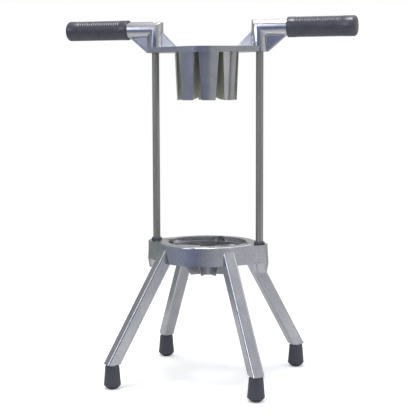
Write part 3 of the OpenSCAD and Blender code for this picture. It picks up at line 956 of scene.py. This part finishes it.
# %% [markdown]
# The studio is a white table and a white wall, lit by a broad soft light from above. Polished
# metal shows the room, so the room matters: dim on the left and lighter on the right, with a
# dark patch where the camera stands, a window on the left, and white behind. What the camera
# itself sees of it is plain white. An image of a room would show things that weren't there, so
# the room is a colour by direction instead, set by what each face of the metal shows.

# %% The room
# Colours of the room at eye level, by the angle from the camera's side, left negative
ROOM = [
    (-180, (1.0, 1.0, 1.0)), (-168, (0.80, 0.81, 0.83)), (-154, (0.26, 0.275, 0.29)),
    (-136, (0.20, 0.215, 0.225)), (-129, (0.36, 0.36, 0.365)), (-112, (0.33, 0.33, 0.35)),
    (-98, (0.25, 0.265, 0.315)), (-72, (0.25, 0.27, 0.375)), (-61, (0.17, 0.185, 0.29)),
    (-48, (0.125, 0.14, 0.265)), (-30, (0.11, 0.125, 0.24)), (-8, (0.125, 0.14, 0.185)),
    (7, (0.13, 0.14, 0.17)), (15, (0.40, 0.41, 0.43)), (42, (0.43, 0.435, 0.455)),
    (48, (0.68, 0.67, 0.68)), (84, (0.60, 0.59, 0.60)), (98, (0.42, 0.42, 0.42)),
    (145, (0.36, 0.37, 0.39)), (166, (0.70, 0.70, 0.71)), (180, (1.0, 1.0, 1.0)),
]
# The same for directions that fall on the far table, as the ring's wall shows them
LOW_ROOM = [
    (-180, (0.46, 0.46, 0.47)), (-150, (0.30, 0.31, 0.32)), (-136, (0.20, 0.23, 0.22)),
    (-103, (0.27, 0.28, 0.34)), (-83, (0.27, 0.28, 0.34)), (-74, (0.27, 0.29, 0.37)),
    (-66, (0.25, 0.27, 0.37)), (-58, (0.23, 0.25, 0.35)), (-50, (0.18, 0.19, 0.29)),
    (-43, (0.155, 0.17, 0.26)), (-22, (0.155, 0.17, 0.26)), (-15, (0.18, 0.20, 0.26)),
    (-8, (0.26, 0.28, 0.33)), (6, (0.31, 0.32, 0.37)), (13, (0.34, 0.355, 0.39)),
    (34, (0.34, 0.355, 0.39)), (48, (0.39, 0.39, 0.44)), (56, (0.47, 0.47, 0.52)),
    (62, (0.51, 0.50, 0.54)), (84, (0.55, 0.55, 0.57)), (98, (0.42, 0.42, 0.43)),
    (145, (0.36, 0.37, 0.39)), (180, (0.46, 0.46, 0.47)),
]


def room_seen(tree, way):
    """What the metal sees of the room: colour by direction."""
    x, y, z = tree.axes(way)
    front = x * -to_object.x + y * -to_object.y
    right = x * to_right.x + y * to_right.y
    turn = tree.node("ShaderNodeMath", {"operation": "ARCTAN2"}, [right, front])
    rings = []
    for colours in (LOW_ROOM, ROOM):
        stops = [(0.5 + angle / 360, colour) for angle, colour in colours]
        rings.append(tree.node("ShaderNodeValToRGB", {"stops": stops}, [turn * (0.5 / pi) + 0.5]))
    level = tree.colour_mix(z.between(-0.05, 0.0), *rings)
    # The patch where the camera stands
    stand = turn.between(radians(-11), radians(-5)) - turn.between(radians(9), radians(14))
    stand = stand * (z.between(-0.12, -0.09) - z.between(-0.02, 0.03))
    level = tree.colour_mix(stand, level, (0.14, 0.155, 0.22))
    # The wall behind the object, then what lies higher and lower all round
    behind = (front * -1.0).between(0.75, 0.88)
    level = tree.colour_mix(behind * (1.0 - z.between(0.15, 0.22)), level, (0.47, 0.46, 0.46))
    level = tree.colour_mix(z.between(0.32, 0.52), level, (0.47, 0.475, 0.52))
    level = tree.colour_mix((z * -1.0).between(0.28, 0.6), level, (0.54, 0.54, 0.56))
    # A dark shelf on that wall, and the bright ceiling to the right
    shelf = behind * (z.between(0.17, 0.24) - z.between(0.42, 0.5))
    level = tree.colour_mix(shelf, level, (0.19, 0.19, 0.20))
    over = (right + z * 0.6).between(0.25, 0.36) * z.between(0.3, 0.5)
    ceiling = over * (1.0 - front.between(0.05, 0.3))
    level = tree.colour_mix(ceiling, level, (1.35, 1.35, 1.36))
    # The window on the left, a little wider higher up
    left_edge = z.between(0.12, 0.18) * radians(-6) - radians(55)
    across = (turn - left_edge).between(0.0, radians(5)) - turn.between(radians(-45), radians(-40))
    window = across * (z.between(0.06, 0.13) - z.between(0.5, 0.56))
    return tree.colour_mix(window, level, (3.2, 3.3, 3.7))


world = bpy.data.worlds.new("studio")
bpy.context.scene.world = world
room = Tree(world)
way = room.node("ShaderNodeTexCoord", out="Generated")
is_camera, is_glossy = room.rays()
reflected = room.node("ShaderNodeBackground", {}, {"Color": room_seen(room, way), "Strength": 1.0})
soft = room.node("ShaderNodeBackground", {}, {"Color": (0.94, 0.97, 1.0, 1.0), "Strength": 0.55})
white = room.node("ShaderNodeBackground", {}, {"Color": (1.0, 1.0, 1.0, 1.0), "Strength": 1.0})
lit = room.node("ShaderNodeMixShader", {}, [is_glossy, soft, reflected])
seen = room.node("ShaderNodeMixShader", {}, [is_camera, lit, white])
room.node("ShaderNodeOutputWorld", {}, {"Surface": seen})
print("room with", len(ROOM), "colours at eye level and", len(LOW_ROOM), "below it")

# %% [markdown]
# The table is one white disc, and its shader asks what kind of ray looks at it. The camera sees
# white paint that fades into the white background. Polished metal sees a duller disc near the
# object and, farther out, through it into the room's own low colours.

# %% The table
FLOOR_R = 1400.0
new_start()
bpy.ops.mesh.primitive_circle_add(vertices=96, radius=FLOOR_R * MM, fill_type="NGON")
floor = settled("floor")
floor_material = bpy.data.materials.new("pale_table")
table = Tree(floor_material)
from_camera, from_gloss = table.rays()
spot = table.node("ShaderNodeTexCoord", out="Object")
reach = table.node("ShaderNodeVectorMath", {"operation": "LENGTH"}, [spot], out="Value")
paint = table.node("ShaderNodeBsdfDiffuse", {}, {"Color": (0.88, 0.88, 0.89, 1.0)})
glow = table.node("ShaderNodeEmission", {}, {"Color": (1.0, 1.0, 1.0, 1.0), "Strength": 0.34})
lifted = table.node("ShaderNodeAddShader", {}, [paint, glow])
plain = table.node("ShaderNodeEmission", {}, {"Color": (1.0, 1.0, 1.0, 1.0), "Strength": 1.0})
far = table.node("ShaderNodeMixShader", {}, [reach.between(0.45, 1.1), lifted, plain])
dull = table.node("ShaderNodeBsdfDiffuse", {}, {"Color": (0.55, 0.55, 0.57, 1.0)})
gone = table.node("ShaderNodeBsdfTransparent", {}, {"Color": (1.0, 1.0, 1.0, 1.0)})
mirrored = table.node("ShaderNodeMixShader", {}, [reach.between(0.35, 0.6), dull, gone])
base = table.node("ShaderNodeMixShader", {}, [from_gloss, paint, mirrored])
top = table.node("ShaderNodeMixShader", {}, [from_camera, base, far])
table.node("ShaderNodeOutputMaterial", {}, {"Surface": top})
floor.data.materials.append(floor_material)
print("table", 2 * FLOOR_R, "mm across")

# %% [markdown]
# One large soft light hangs over the object and shows in the metal as its highlight. Two weak
# ones at the sides lift the rubber and are hidden from the metal, which has the room for that.

# %% The lamps
def soft_box(name, place, size, watts, mirrored, target=(0.0, 0.0, 0.22)):
    new_start()
    bpy.ops.object.light_add(type="AREA", location=place)
    lamp = bpy.context.object
    lamp.name = name
    lamp.data.shape, lamp.data.size, lamp.data.energy = "SQUARE", size, watts
    lamp.rotation_euler = (Vector(target) - Vector(place)).to_track_quat("-Z", "Y").to_euler()
    lamp.visible_glossy = mirrored
    print(name, watts, "W", round(size, 2), "m square")


soft_box("ceiling_light", (-0.04, -0.2, 1.7), 0.55, 15.0, True)
soft_box("right_light", (1.5, -0.9, 0.9), 0.8, 7.0, False)
soft_box("left_light", (-1.5, -1.0, 0.8), 0.8, 3.0, False)
